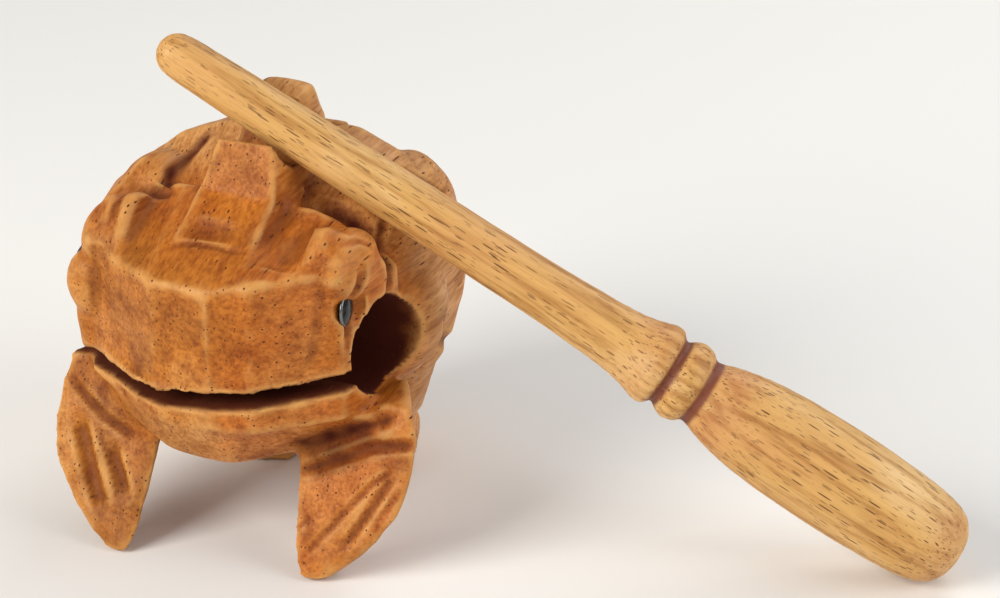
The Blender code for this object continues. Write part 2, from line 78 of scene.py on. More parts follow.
# Knife strokes: path, direction of the cut, half width, depth, shape and darkening, which is
# painted shade in the cuts and a reddish tone on the snout streaks. A depth below 0 raises a ridge.
STROKES = (
    # valleys beside the wedge of the forehead
    (
        ((-17.5, -14.0, 65.5), (-15.8, -20.0, 62.5), (-14.8, -27.0, 60.0), (-14.4, -31.0, 58.5)),
        DOWN, 5.0, 0.8, "scoop", 0.1,
    ),
    (
        ((10.5, -14.0, 65.0), (11.5, -22.0, 62.5), (12.5, -31.0, 60.0)),
        DOWN, 5.0, 1.3, "scoop", 0.12,
    ),
    (
        ((15.5, -13.5, 63.5), (15.0, -21.0, 63.0), (14.0, -28.0, 60.5)),
        DOWN, 4.0, 0.9, "scoop", 0.12,
    ),
    # the cuts that part the head from the back, darkened with painted shadow
    (
        ((-16.0, -14.5, 65.0), (-18.6, -8.0, 65.5), (-18.2, -2.0, 67.0), (-15.9, 2.6, 69.2)),
        DOWN, 1.8, 0.9, "vee", 1.0,
    ),
    (
        ((-23.0, -12.5, 63.5), (-19.0, -14.6, 64.6), (-15.0, -15.6, 65.0)),
        DOWN, 2.4, 1.6, "vee", 1.0,
    ),
    (
        ((11.0, -9.5, 64.0), (15.0, -8.5, 62.0), (18.5, -8.0, 60.5), (22.0, -9.0, 58.5)),
        DOWN, 2.6, 1.5, "vee", 1.0,
    ),
    (
        ((22.0, -3.5, 60.5), (22.8, -7.0, 58.0), (24.5, -10.5, 57.0)),
        FROM_UPPER_LEFT, 1.3, 0.9, "vee", 0.6,
    ),
    (
        ((22.5, -10.5, 58.5), (25.5, -11.5, 55.0), (26.8, -13.0, 50.0)),
        FROM_LEFT, 1.5, 1.0, "vee", 0.8,
    ),
    # brows
    (
        ((-20.0, -15.5, 64.5), (-18.8, -20.0, 64.5), (-18.8, -24.0, 63.5), (-18.0, -29.0, 60.0)),
        DOWN, 2.2, -0.35, "scoop", 0.0,
    ),
    (
        ((-22.8, -18.0, 64.0), (-22.0, -22.0, 64.0), (-21.0, -26.5, 62.0)),
        DOWN, 1.3, 0.8, "vee", 0.5,
    ),
    (
        ((22.5, -23.0, 62.5), (23.5, -19.5, 62.0), (24.5, -17.5, 60.0)),
        FROM_UPPER_LEFT, 0.9, 0.4, "vee", 0.3,
    ),
    (
        (
            (-7.5, -29.6, 60.8), (-3.2, -28.6, 61.4), (0.7, -28.9, 61.5),
            (4.0, -29.3, 61.2), (7.0, -28.8, 61.4),
        ),
        DOWN, 0.8, 0.4, "vee", 0.5,
    ),
    # steps down the face of the first tooth, darkened with painted shade
    (
        ((-6.5, -25.6, 63.6), (3.5, -25.9, 64.2)),
        DOWN, 2.5, 0.7, "scoop", 0.3,
    ),
    # the nose's middle edge, and reddish streaks down the snout
    (
        ((3.7, -39.0, 56.5), (3.7, -39.2, 40.0)),
        BACK, 1.0, -0.15, "vee", 0.0,
    ),
    (
        ((20.9, -28.9, 57.7), (20.4, -29.6, 50.0), (19.1, -30.5, 42.0)),
        BACK, 1.1, 0.08, "scoop", 0.4,
    ),
    (
        ((-23.5, -28.2, 56.0), (-23.8, -28.0, 50.0), (-24.2, -27.8, 45.0)),
        BACK, 1.8, 0.15, "scoop", 0.45,
    ),
    # almond tips of the eye hollows
    (
        ((24.6, -22.2, 58.6), (24.8, -23.0, 56.0), (24.8, -23.6, 53.0)),
        FROM_LEFT, 1.8, 0.9, "scoop", 0.5,
    ),
    (
        ((24.8, -23.6, 51.0), (24.4, -24.4, 48.0), (24.2, -25.0, 45.2)),
        FROM_LEFT, 1.6, 0.8, "scoop", 0.5,
    ),
    (
        ((-29.0, -22.0, 57.5), (-30.0, -22.2, 54.5), (-30.5, -22.4, 52.0)),
        FROM_RIGHT, 4.0, 1.6, "scoop", 0.4,
    ),
    (
        ((-30.5, -22.4, 52.0), (-31.0, -22.6, 49.0), (-31.0, -23.2, 46.5)),
        FROM_RIGHT, 3.8, 1.5, "scoop", 0.4,
    ),
    # the frog's right hand: two leaf-shaped gouges and the crease under the jaw
    (
        ((-30.5, -27.0, 20.5), (-28.7, -28.4, 17.4), (-26.5, -30.7, 12.7), (-23.0, -33.4, 7.0)),
        INTO_HAND, 2.3, 1.3, "scoop", 0.35,
    ),
    (
        ((-23.0, -28.4, 17.2), (-20.8, -30.2, 13.6), (-18.6, -32.0, 9.6)),
        INTO_HAND, 1.9, 1.1, "scoop", 0.4,
    ),
    (
        ((-26.0, -27.5, 20.0), (-22.5, -30.0, 13.5), (-19.5, -33.0, 8.0)),
        INTO_HAND, 0.6, 0.35, "vee", 0.3,
    ),
    (
        ((-33.0, -24.0, 27.0), (-28.5, -25.2, 24.0), (-25.0, -26.3, 22.0), (-18.5, -27.5, 19.5)),
        INTO_HAND, 1.3, 0.8, "vee", 0.5,
    ),
    # the frog's left hand: two creases across the wrist and the toe lines that fan from it
    (
        ((14.0, -26.0, 22.4), (19.8, -23.5, 25.1), (27.3, -22.6, 28.2), (31.0, -21.0, 30.5)),
        INTO_HAND, 2.1, 1.4, "vee", 0.9,
    ),
    (
        ((13.6, -25.8, 18.0), (20.5, -24.4, 20.9), (27.4, -23.1, 24.3), (35.5, -22.4, 26.2)),
        INTO_HAND, 1.6, 1.0, "vee", 0.7,
    ),
    (
        ((17.5, -31.0, 4.5), (23.6, -27.8, 12.5), (28.4, -25.5, 18.2), (32.2, -24.3, 21.3)),
        INTO_HAND, 0.9, 0.55, "vee", 0.5,
    ),
    (
        ((15.5, -26.5, 20.0), (22.0, -24.0, 22.5), (29.0, -22.5, 27.0)),
        INTO_HAND, 4.2, 0.5, "scoop", 0.6,
    ),
    (
        ((24.5, -30.0, 6.7), (27.9, -27.8, 12.5), (32.2, -24.7, 20.5)),
        INTO_HAND, 1.3, 0.8, "vee", 0.5,
    ),
    (
        ((15.2, -29.4, 8.8), (17.8, -28.5, 10.9)),
        INTO_HAND, 0.6, 0.3, "vee", 0.3,
    ),
    (
        ((30.0, -28.0, 11.0), (33.4, -25.6, 17.5)),
        INTO_HAND, 1.0, 0.4, "vee", 0.2,
    ),
    # knees and the folds of the hind legs
    (
        ((20.0, 7.0, 64.5), (23.5, 10.5, 62.0), (25.5, 15.5, 58.0)),
        FROM_UPPER_LEFT, 1.5, 1.0, "vee", 0.8,
    ),
    (
        ((-20.5, 7.0, 64.5), (-24.0, 10.5, 62.0), (-26.0, 15.5, 58.0)),
        FROM_UPPER_RIGHT, 1.5, 1.0, "vee", 0.8,
    ),
    (
        ((27.5, 3.0, 40.0), (29.0, 8.0, 32.0), (27.5, 17.0, 27.0), (23.0, 26.0, 26.0)),
        FROM_LEFT, 2.0, 1.0, "vee", 0.6,
    ),
    (
        ((-31.0, 3.0, 40.0), (-31.0, 8.0, 32.0), (-28.0, 17.0, 27.0), (-23.0, 26.0, 26.0)),
        FROM_RIGHT, 2.0, 1.0, "vee", 0.6,
    ),
    # toes of the hind feet
    (
        ((9.0, 4.0, 3.0), (9.6, 11.0, 6.5)),
        BACK, 1.0, 0.8, "vee", 0.5,
    ),
    (
        ((13.6, 5.0, 3.0), (12.8, 12.0, 6.5)),
        BACK, 1.0, 0.8, "vee", 0.5,
    ),
    (
        ((-9.0, 4.0, 3.0), (-9.6, 11.0, 6.5)),
        BACK, 1.0, 0.8, "vee", 0.5,
    ),
    (
        ((-13.6, 5.0, 3.0), (-12.8, 12.0, 6.5)),
        BACK, 1.0, 0.8, "vee", 0.5,
    ),
)
# Rounded masses that fill out the solid before the knife work: centre and half sizes
MASSES = (
    ((-0.5, -9.5, 63.0), (9.0, 7.0, 5.0)),
    ((14.3, 0.0, 40.5), (16.8, 18.0, 16.5)),
    ((-15.5, 0.0, 40.5), (16.5, 18.0, 16.5)),
    ((12.5, 12.0, 34.5), (15.2, 16.0, 16.5)),
    ((-14.5, 12.0, 34.5), (15.2, 16.0, 16.5)),
    ((-26.2, -24.5, 48.5), (5.4, 4.6, 7.2)),
    ((-27.5, -24.0, 41.0), (3.0, 2.6, 9.0)),
    ((-22.5, -4.0, 58.0), (8.4, 10.0, 8.3)),
    ((21.0, -19.5, 57.5), (5.6, 9.0, 6.4)),
    ((-24.0, -19.5, 56.5), (5.6, 9.0, 6.4)),
)
# A block of waste in front of the frog's right cheek, cut away first
CHEEK_TRIM = (-35.6, -27.0, 40.0)
CHEEK_TRIM_SIZE = (10.0, 10.0, 14.0)
STROKE_REACH = 6.0  # a stroke marks only what lies this near its path, measured along the cut
STROKE_TAPER = 2.5  # it rises out of the wood over this length at each end

# Wear: where the surface is softened more or less. A pair is where it starts and where it is full.
HAND_SOFTENING = 30  # further steps that round the thin edges of the hands and of the tallest tooth
HAND_TOP = (27.0, 33.0)
HAND_BACK = (-24.0, -18.0)
TOOTH_FOOT = (74.0, 78.0)
TOOTH_FRONT = (-4.0, -1.0)
SOLE_HEIGHT = 0.9
SOLE_SOFTNESS = 0.3
CRISP_HOLD = 0.9  # the share of the softening that crisp shapes escape
RIPPLE_LIMIT = 0.1  # the most that the ripple raises the surface
EDGE_STEPS = 6  # relaxing steps that find the sharp edges
HOLLOW_STEPS = 40  # and the wide hollows

# Sound chamber, mouth and notches, as the solid has them
BORE_Y = -15.0
BORE_Z = 41.0
BORE_RADIUS = 9.0
SLIT_Z = 36.0
SLIT_HALF = 1.5
SLIT_ROLL = math.radians(-4.6)
SAW_SIZE = (120.0, 45.0, 2 * SLIT_HALF)
BORE_CUT_LENGTH = 0.12
BORE_MOUTH = 31.5  # the bore's stain and painted shade start this far from the middle and deepen inwards
SPINE_HALF = 9.0
# Notches of the spine: place along Y, height and radius
NOTCHES = ((-7.9, 76.5, 6.2), (12.5, 73.6, 4.6), (22.0, 69.4, 4.6), (32.0, 62.2, 4.6))
# Eyes: solid node, place, direction, and how far the tack settles into the carved hollow
EYES = (
    ("left_eye_tack", (24.7, -23.9, 52.2), (1.0, 0.1, 0.02), (0.1, 0.4, -1.0)),
    ("right_eye_tack", (-29.0, -24.0, 53.4), (-1.0, 0.08, 0.02), (-1.9, 1.7, -2.0)),
)

# Turned profiles: distance along the axis and radius
TACK_PROFILE = (
    (-6.0, 0.3),
    (-5.4, 0.8),
    (-1.8, 0.8),
    (-1.8, 2.6),
    (-1.75, 3.05),
    (-1.55, 3.2),
    (-1.3, 3.12),
    (-1.2, 2.95),
    (-1.26, 2.8),
    (-1.1, 2.55),
    (-0.88, 2.1),
    (-0.72, 1.5),
    (-0.62, 0.8),
    (-0.6, 0.25),
)
STRIKER_PROFILE = (
    (0.05, 0.5),
    (0.35, 1.6),
    (1.1, 2.85),
    (2.4, 3.75),
    (4.6, 4.25),
    (12.0, 4.4),
    (20.0, 4.53),
    (32.0, 4.7),
    (45.0, 4.85),
    (58.0, 5.0),
    (70.0, 5.1),
    (80.0, 5.25),
    (88.0, 5.45),
    (95.0, 5.75),
    (99.0, 6.15),
    (102.0, 6.8),
    (104.2, 7.6),
    (105.5, 7.85),
    (106.5, 7.65),
    (107.2, 6.9),
    (107.7, 6.35),
    (108.4, 6.35),
    (108.9, 6.75),
    (109.8, 7.45),
    (111.0, 7.7),
    (112.2, 7.6),
    (113.3, 7.1),
    (114.0, 6.35),
    (114.9, 6.15),
    (115.7, 6.4),
    (117.4, 7.05),
    (120.0, 7.8),
    (124.0, 8.65),
    (129.0, 9.25),
    (136.0, 9.65),
    (144.0, 9.73),
    (152.0, 9.55),
    (158.0, 9.25),
    (162.5, 8.75),
    (165.6, 8.0),
    (167.8, 6.75),
    (169.1, 4.9),
    (169.7, 2.9),
    (169.85, 1.0),
)
GROOVES = (108.0, 114.8)
# Where hands have rubbed the stick: place along it, spread and strength
RUBS = ((119.0, 4.0, 1.0), (166.0, 3.5, 0.8), (103.0, 4.0, 0.7))
# The tack's lighter rim, a painted reflection of its silvery edge: from and to these radii, on its
# front
TACK_RIM = (2.75, 2.95)
TACK_FRONT = -1.75

# Colours that the panel doesn't offer
WHITE = (1.0, 1.0, 1.0)
# redder wood, and the painted shade of the front's left half
REDDER_AND_SHADED_WOOD = (0.44, 0.098, 0.006)
# painted shade in the hollows
HOLLOW_SHADE_WOOD = (0.25, 0.065, 0.007)
PORE_WOOD = (0.13, 0.032, 0.007)
STICK_REDDISH = (0.60, 0.28, 0.09)
STICK_PALE = (0.86, 0.60, 0.30)
STICK_RUBBED = (0.50, 0.17, 0.06)
# painted reflection on the tacks' rims
RIM_REFLECTION_GREY = (0.42, 0.43, 0.44)

# Features for each metre of wood, across, along and across the frog's grain
STREAKS = (230, 26, 230)
MOTTLE = (620, 260, 620)
FIBRES = (1500, 110, 1500)
PORES = (1150, 120, 1150)
# and across, across and along the stick
STICK_BLOTCHES = (60, 60, 22)
STICK_STREAKS = (520, 520, 34)
STICK_FIBRES = (2400, 2400, 160)
STICK_PORES = (1900, 1900, 170)
STICK_FINE_PORES = (2900, 2900, 270)
STICK_PATCHES = (110, 110, 30)

# Lights: name, place from the middle of the object, size, share of the key's power and colour
LIGHTS = (
    ("key", (-0.42, -0.66, 0.46), 0.50, 1.0, (1.0, 0.97, 0.92)),
    ("fill", (0.85, 0.05, 0.40), 0.6, 0.55, (0.95, 0.97, 1.0)),
    ("rim", (0.15, 0.6, 0.6), 0.5, 0.35, (1.0, 0.98, 0.95)),
)
LIT_MIDDLE = (20.0, -5.0, 35.0)
SKY_COLOUR = (0.96, 0.97, 1.0, 1.0)
FLOOR_SIZE = 6.0
FLOOR_DROP = 0.0004  # keeps the floor just under the soles

# The view: angles, aim in the frog's frame, distance from it and lens
VIEW_AZIMUTH = math.radians(22.0)
VIEW_ELEVATION = math.radians(25.0)
VIEW_TARGET = (31.2, 28.7, 31.9)
VIEW_DISTANCE = 550.0
LENS = 102.96
SENSOR = 36.0


class FrogSettings(bpy.types.PropertyGroup):
    """Sizes and colours of the carving."""

    voxel: FloatProperty(
        name="Detail", description="Edge length of the fine surface", default=0.00062, unit="LENGTH"
    )
    softening: IntProperty(
        name="Wear", description="Steps that round the knife facets", default=4, min=0, max=40
    )
    ripple: FloatProperty(
        name="Ripple", description="Height of the uneven knife work", default=0.00022, unit="LENGTH"
    )
    wood: FloatVectorProperty(
        name="Wood", description="Main colour", default=(0.42, 0.135, 0.014), subtype="COLOR"
    )
    # edges: real wear and painted highlights
    light: FloatVectorProperty(
        name="Worn and highlighted wood", description="Edges", default=(0.66, 0.33, 0.095), subtype="COLOR"
    )
    # cuts and hollows: stain and painted shade
    dark: FloatVectorProperty(
        name="Stain and painted shade", description="Cuts and hollows", default=(0.075, 0.009, 0.002), subtype="COLOR"
    )
    pale: FloatVectorProperty(
        name="Side grain", description="Flanks", default=(0.54, 0.27, 0.095), subtype="COLOR"
    )


class StrikerSettings(bpy.types.PropertyGroup):
    """Sizes and colours of the stick."""

    sides: IntProperty(
        name="Sides", description="Facets round the stick before smoothing",
        default=40, min=12, max=96,
    )
    wood: FloatVectorProperty(
        name="Wood", description="Main colour", default=(0.63, 0.345, 0.098), subtype="COLOR"
    )
    pore: FloatVectorProperty(
        name="Pores", description="Dark pore lines", default=(0.20, 0.075, 0.012), subtype="COLOR"
    )
    burn: FloatVectorProperty(
        name="Grooves", description="Burnt grooves", default=(0.17, 0.03, 0.01), subtype="COLOR"
    )


class EyeSettings(bpy.types.PropertyGroup):
    """Sizes and colours of the tacks."""

    sides: IntProperty(
        name="Sides", description="Facets round each tack", default=32, min=12, max=64
    )
    head: FloatVectorProperty(
        name="Head", description="Dark domed head", default=(0.020, 0.024, 0.028), subtype="COLOR"
    )


class StageSettings(bpy.types.PropertyGroup):
    """The floor and the lights."""

    floor: FloatVectorProperty(
        name="Floor", description="Floor colour", default=(0.84, 0.83, 0.80), subtype="COLOR"
    )
    key: FloatProperty(
        name="Key light", description="Strength of the main light", default=8.0, unit="POWER"
    )
    sky: FloatProperty(
        name="Sky", description="Strength of the light from all round",
        default=0.30, min=0.0, max=3.0,
    )


def deselect_all():
    if bpy.context.mode != "OBJECT":
        bpy.ops.object.mode_set(mode="OBJECT")
    bpy.ops.object.select_all(action="DESELECT")


def activate(obj):
    deselect_all()
    obj.select_set(True)
    bpy.context.view_layer.objects.active = obj


def to_world(point):
    """A place in the frog's frame, in millimetres, as a world position."""
    return FROG_ORIGIN + Vector(point) * MM


def apply_modifier(obj, kind, **settings):
    activate(obj)
    modifier = obj.modifiers.new(kind.lower(), kind)
    for key, value in settings.items():
        setattr(modifier, key, value)
    bpy.ops.object.modifier_apply(modifier=modifier.name)


def vertex_data(mesh, name):
    values = np.empty(len(mesh.vertices) * 3)
    mesh.vertices.foreach_get(name, values)
    return values.reshape(-1, 3)


def set_points(mesh, points):
    mesh.vertices.foreach_set("co", points.ravel())
    mesh.update()


def set_attribute(mesh, name, values):
    made = mesh.attributes.new(name, "FLOAT", "POINT")
    made.data.foreach_set("value", np.ascontiguousarray(values, dtype=np.float32))


def relaxed(values, edges, steps, weight=1.0):
    """Values at the vertices, pulled towards their neighbours' mean."""
    count = np.bincount(edges.ravel(), minlength=len(values))[:, None]
    for _ in range(steps):
        total = np.zeros_like(values)
        for axis in range(values.shape[1]):
            total[:, axis] = np.bincount(edges[:, 0], values[edges[:, 1], axis], len(values))
            total[:, axis] += np.bincount(edges[:, 1], values[edges[:, 0], axis], len(values))
        values = values + 0.5 * weight * (total / np.maximum(count, 1) - values)
    return values


def smooth_noise(points, size, seed):
    """Noise between about -1 and 1 at each point, with features of this size."""
    offset = Vector((seed * 17.3, seed * 5.1, seed * 9.7))
    return np.array([noise.noise(Vector(point) / size + offset) for point in points])


def fade(values, start, end):
    """0 at start and 1 at end, with a smooth rise between."""
    t = np.clip((values - start) / (end - start), 0.0, 1.0)
    return t * t * (3 - 2 * t)


# ---------------------------------------------------------------- carving


def stroke_weight(points, path, aim, half_width, shape):
    """How much of one stroke reaches each point, seen along the direction of the cut."""
    aim = np.array(Vector(aim).normalized())
    path = np.array(path)
    lengths = np.linalg.norm(np.diff(path, axis=0), axis=1)
    starts = np.concatenate([[0.0], np.cumsum(lengths)])
    best = np.full(len(points), np.inf)
    along = np.zeros(len(points))
    deep = np.full(len(points), np.inf)
    for index, (start, end) in enumerate(zip(path, path[1:])):
        flat = (end - start) - aim * ((end - start) @ aim)
        away = points - start
        flat_away = away - np.outer(away @ aim, aim)
        t = np.clip(flat_away @ flat / (flat @ flat), 0.0, 1.0)
        distance = np.linalg.norm(flat_away - np.outer(t, flat), axis=1)
        closer = distance < best
        best = np.where(closer, distance, best)
        along = np.where(closer, starts[index] + t * lengths[index], along)
        deep = np.where(closer, np.abs((away - np.outer(t, end - start)) @ aim), deep)
    taper = min(STROKE_TAPER, starts[-1] / 3)
    ends = np.clip(np.minimum(along, starts[-1] - along) / taper + 0.25, 0.0, 1.0)
    part = np.clip(1 - best / half_width, 0.0, 1.0)
    weight = part if shape == "vee" else fade(part, 0.0, 0.8)
    return weight * ends * (deep < STROKE_REACH)


def slit_height(points):
    """Height above the middle of the mouth's saw cut, which is rolled a little."""
    return (points[:, 2] - SLIT_Z) * math.cos(SLIT_ROLL) + points[:, 0] * math.sin(SLIT_ROLL)


def inside_bore(points, margin):
    return np.hypot(points[:, 1] - BORE_Y, points[:, 2] - BORE_Z) < BORE_RADIUS + margin


def kept_sharp(points):
    """1 where the shape stays crisp, such as the saw cut, the notches and the eye seats."""
    height = np.abs(slit_height(points))
    front = points[:, 1] < BORE_Y
    crisp = np.where(front, 1 - fade(height, SLIT_HALF + 0.6, SLIT_HALF + 2.2), 0.0)
    for y, z, radius in NOTCHES:
        reach = np.hypot(points[:, 1] - y, points[:, 2] - z) - radius
        near = (1 - fade(np.abs(reach), 0.6, 2.0)) * (np.abs(points[:, 0]) < SPINE_HALF)
        crisp = np.maximum(crisp, 0.75 * near)
    for _, place, _, _ in EYES:
        distance = np.linalg.norm(points - np.array(place), axis=1)
        crisp = np.maximum(crisp, 1 - fade(distance, 4.2, 6.5))
    return crisp


def carve(points, normals):
    """The points moved along their normals by the knife strokes, and the darkening they paint:
    painted shade in the cuts and a reddish tone on the snout streaks.
    """
    depth = np.zeros(len(points))
    stain_and_painted_shade = np.zeros(len(points))
    for path, aim, half_width, cut, shape, darkening in STROKES:
        faces = fade(-(normals @ np.array(Vector(aim).normalized())), 0.05, 0.35)
        weight = stroke_weight(points, path, aim, half_width, shape) * faces
        depth = depth + cut * weight
        # painted shade in the cuts, a reddish tone on the snout streaks
        stain_and_painted_shade = np.maximum(stain_and_painted_shade, darkening * np.clip(weight * 1.2, 0.0, 1.0))
    return points - normals * depth[:, None], stain_and_painted_shade


def rag_the_lip(points, normals):
    """Splinters along the edge that the saw left."""
    height = slit_height(points)
    near = 1 - fade(np.abs(np.abs(height) - SLIT_HALF - 0.2), 0.3, 1.1)
    near = near * (points[:, 1] < BORE_Y) * fade(-normals[:, 1] + np.abs(normals[:, 0]), 0.3, 0.8)
    jag = smooth_noise(points * np.array([1.0, 1.0, 0.25]), 0.9, 3)
    moved = points.copy()
    moved[:, 2] += near * jag * 0.3
    return moved


def carved_wood(settings):
    """Open-pored wood with its grain along Y: dots where the grain ends, lines on the sides."""
    build = MaterialBuilder("carved_wood")
    where = build.place()
    wood = tuple(settings.wood)
    worn = mixed(wood, settings.light, 0.5)
    blotch = build.noise(where, (1, 1, 1), 48.0, 4.0, 0.55)
    colour = build.ramp(blotch, ((0.30, scaled(wood, 0.74)), (0.47, wood), (0.66, worn)))
    colour = build.mix(build.attribute("side_grain"), colour, tuple(settings.pale))
    # painted shade on the front's left half, a redder tone on the tops
    colour = build.mix(build.attribute("redder_front_and_painted_shade"), colour, REDDER_AND_SHADED_WOOD)
    streak = build.noise(where, STREAKS, 1.0, 5.0, 0.62)
    tone = build.tones(streak, (0.33, (0.64, 0.50, 0.36)), 0.50, (0.67, (1.18, 1.24, 1.36)))
    mottle = build.noise(where, MOTTLE, 1.0, 4.0, 0.65)
    patches = build.tones(mottle, (0.34, (0.86, 0.78, 0.66)), 0.50, (0.66, (1.08, 1.12, 1.20)))
    colour = build.mix(0.8, colour, patches, "MULTIPLY")
    colour = build.mix(1.0, colour, tone, "MULTIPLY")
    fibre = build.noise(where, FIBRES, 1.0, 3.0, 0.6)
    threads = build.tones(fibre, (0.36, (0.72, 0.62, 0.50)), 0.51, (0.66, (1.16, 1.20, 1.30)))
    colour = build.mix(0.9, colour, threads, "MULTIPLY")
    # lighter edges: real wear and painted highlights on the ridges
    colour = build.mix(build.attribute("edge_wear_and_highlight"), colour, tuple(settings.light))
    # painted shade in the hollows
    colour = build.mix(build.attribute("painted_hollow_shade"), colour, HOLLOW_SHADE_WOOD)
    # stain and painted shade in the cuts, the mouth, the bore and the first notch
    stain_and_painted_shade = build.attribute("stain_and_painted_shade")
    colour = build.mix(stain_and_painted_shade, colour, tuple(settings.dark))
    pores = build.pores(where, PORES, 0.15)
    colour = build.mix(pores, colour, PORE_WOOD)
    build.link(colour, "Base Color")
    rough = build.ramp(streak, ((0.3, grey(0.62)), (0.7, grey(0.42))))
    build.link(build.mix(stain_and_painted_shade, rough, grey(0.85)), "Roughness")
    build.bump(((fibre, 0.00009), (streak, 0.00014), (mottle, 0.0001), (pores, -0.00025)))
    build.shader.inputs["Specular IOR Level"].default_value = 0.22
    return build.material


def mixed(first, second, share):
    return tuple(a + (b - a) * share for a, b in zip(first, second))


def scaled(colour, by):
    return tuple(channel * by for channel in colour)


def grey(level):
    return (level, level, level)


class MaterialBuilder:
    """Short names for the nodes that the finishes use."""

    def __init__(self, name):
        self.material = bpy.data.materials.new(name)
        self.material.use_nodes = True
        self.tree = self.material.node_tree
        self.shader = self.tree.nodes["Principled BSDF"]

    def add(self, kind, **settings):
        node = self.tree.nodes.new(kind)
        for key, value in settings.items():
            setattr(node, key, value)
        return node

    def set(self, socket, value):
        """Links an output to a socket, or sets the socket's own value."""
        if isinstance(value, bpy.types.NodeSocket):
            self.tree.links.new(value, socket)
        elif hasattr(value, "__len__") and socket.type == "RGBA":
            socket.default_value = (*value, 1.0)
        else:
            socket.default_value = value

    def link(self, output, name):
        self.tree.links.new(output, self.shader.inputs[name])

    def place(self):
        """The piece's own coordinates, in metres."""
        return self.add("ShaderNodeTexCoord").outputs["Object"]

    def attribute(self, name):
        return self.add("ShaderNodeAttribute", attribute_name=name).outputs["Fac"]

    def mapped(self, where, scale):
        node = self.add("ShaderNodeMapping")
        self.set(node.inputs["Vector"], where)
        node.inputs["Scale"].default_value = scale
        return node.outputs["Vector"]

    def noise(self, where, scale, size, detail, roughness):
        node = self.add("ShaderNodeTexNoise")
        self.set(node.inputs["Vector"], self.mapped(where, scale))
        node.inputs["Scale"].default_value = size
        node.inputs["Detail"].default_value = detail
        node.inputs["Roughness"].default_value = roughness
        return node.outputs["Fac"]

    def ramp(self, factor, stops):
        node = self.add("ShaderNodeValToRGB")
        self.set(node.inputs["Fac"], factor)
        elements = node.color_ramp.elements
        while len(elements) < len(stops):
            elements.new(0.5)
        for element, (position, colour) in zip(elements, stops):
            element.position = position
            element.color = (*colour, 1.0)
        return node.outputs["Color"]

    def tones(self, factor, low, middle, high):
        """A ramp to multiply a colour by, which leaves it alone at the middle."""
        return self.ramp(factor, (low, (middle, WHITE), high))

    def mix(self, factor, first, second, blend="MIX"):
        node = self.add("ShaderNodeMix", data_type="RGBA", blend_type=blend)
        self.set(node.inputs["Factor"], factor)
        self.set(node.inputs[6], first)
        self.set(node.inputs[7], second)
        return node.outputs[2]

    def math(self, operation, first, second):
        node = self.add("ShaderNodeMath", operation=operation)
        self.set(node.inputs[0], first)
        self.set(node.inputs[1], second)
        return node.outputs[0]

    def pores(self, where, scale, size):
        """1 in small pores that are drawn out along the grain, of mixed sizes, and 0 elsewhere."""
        cells = self.add("ShaderNodeTexVoronoi")
        self.set(cells.inputs["Vector"], self.mapped(where, scale))
        cells.inputs["Scale"].default_value = 1.0
        pick = self.add("ShaderNodeSeparateColor")
        self.set(pick.inputs["Color"], cells.outputs["Color"])
        radius = self.math("MULTIPLY", pick.outputs["Red"], size * 1.6)
        inside = self.math("SUBTRACT", radius, cells.outputs["Distance"])
        edge = self.math("MULTIPLY", inside, 18.0)
        node = self.add("ShaderNodeClamp")
        self.set(node.inputs["Value"], edge)
        return node.outputs["Result"]

    def bump(self, layers):
        """Chains one Bump for each pair of a height and its size in metres."""
        normal = None
        for height, distance in layers:
            node = self.add("ShaderNodeBump", invert=distance < 0)
            self.set(node.inputs["Height"], height)
            node.inputs["Distance"].default_value = abs(distance)
            node.inputs["Strength"].default_value = 1.0
            if normal:
                self.set(node.inputs["Normal"], normal)
            normal = node.outputs["Normal"]
        self.link(normal, "Normal")


def copied_solid(node, name):
    """A new object with the CAD node's mesh, its loose triangles joined."""
    obj = bpy.data.objects.new(name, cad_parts[node].data.copy())
    bpy.context.scene.collection.objects.link(obj)
    obj.data.materials.clear()
    activate(obj)
    bpy.ops.object.mode_set(mode="EDIT")
    bpy.ops.mesh.select_all(action="SELECT")
    bpy.ops.mesh.remove_doubles(threshold=WELD)
    bpy.ops.object.mode_set(mode="OBJECT")
    return obj


def combine(obj, helper, operation):
    """Adds or removes a helper with an exact Boolean, then deletes the helper."""
    apply_modifier(obj, "BOOLEAN", object=helper, operation=operation, solver="EXACT")
    activate(helper)
    bpy.ops.object.delete()


def cut_bore_and_mouth(obj):
    """Cuts the sound bore and the mouth's saw slit through one rounded mass."""
    deselect_all()
    bore = to_world((0.0, BORE_Y, BORE_Z))
    across = (0.0, math.pi / 2, 0.0)
    bpy.ops.mesh.primitive_cylinder_add(
        vertices=72, radius=BORE_RADIUS * MM, depth=BORE_CUT_LENGTH, location=bore, rotation=across
    )
    combine(obj, bpy.context.object, "DIFFERENCE")
    deselect_all()
    saw = to_world((0.0, BORE_Y - SAW_SIZE[1] / 2, SLIT_Z))
    bpy.ops.mesh.primitive_cube_add(
        size=MM, location=saw, rotation=(0.0, SLIT_ROLL, 0.0), scale=SAW_SIZE
    )
    combine(obj, bpy.context.object, "DIFFERENCE")


def fill_out(frog):
    """Trims the cheek and joins the rounded masses, each cut by the bore and the mouth."""
    deselect_all()
    waste = to_world(CHEEK_TRIM)
    bpy.ops.mesh.primitive_cube_add(size=MM, location=waste, scale=CHEEK_TRIM_SIZE)
    combine(frog, bpy.context.object, "DIFFERENCE")
    masses = []
    for centre, sizes in MASSES:
        deselect_all()
        bpy.ops.mesh.primitive_ico_sphere_add(
            subdivisions=4, radius=MM, location=to_world(centre), scale=sizes
        )
        bpy.ops.object.transform_apply(location=True, rotation=True, scale=True)
        masses.append(bpy.context.object)
        cut_bore_and_mouth(masses[-1])
    activate(frog)
    for mass in masses:
        mass.select_set(True)
    bpy.ops.object.join()


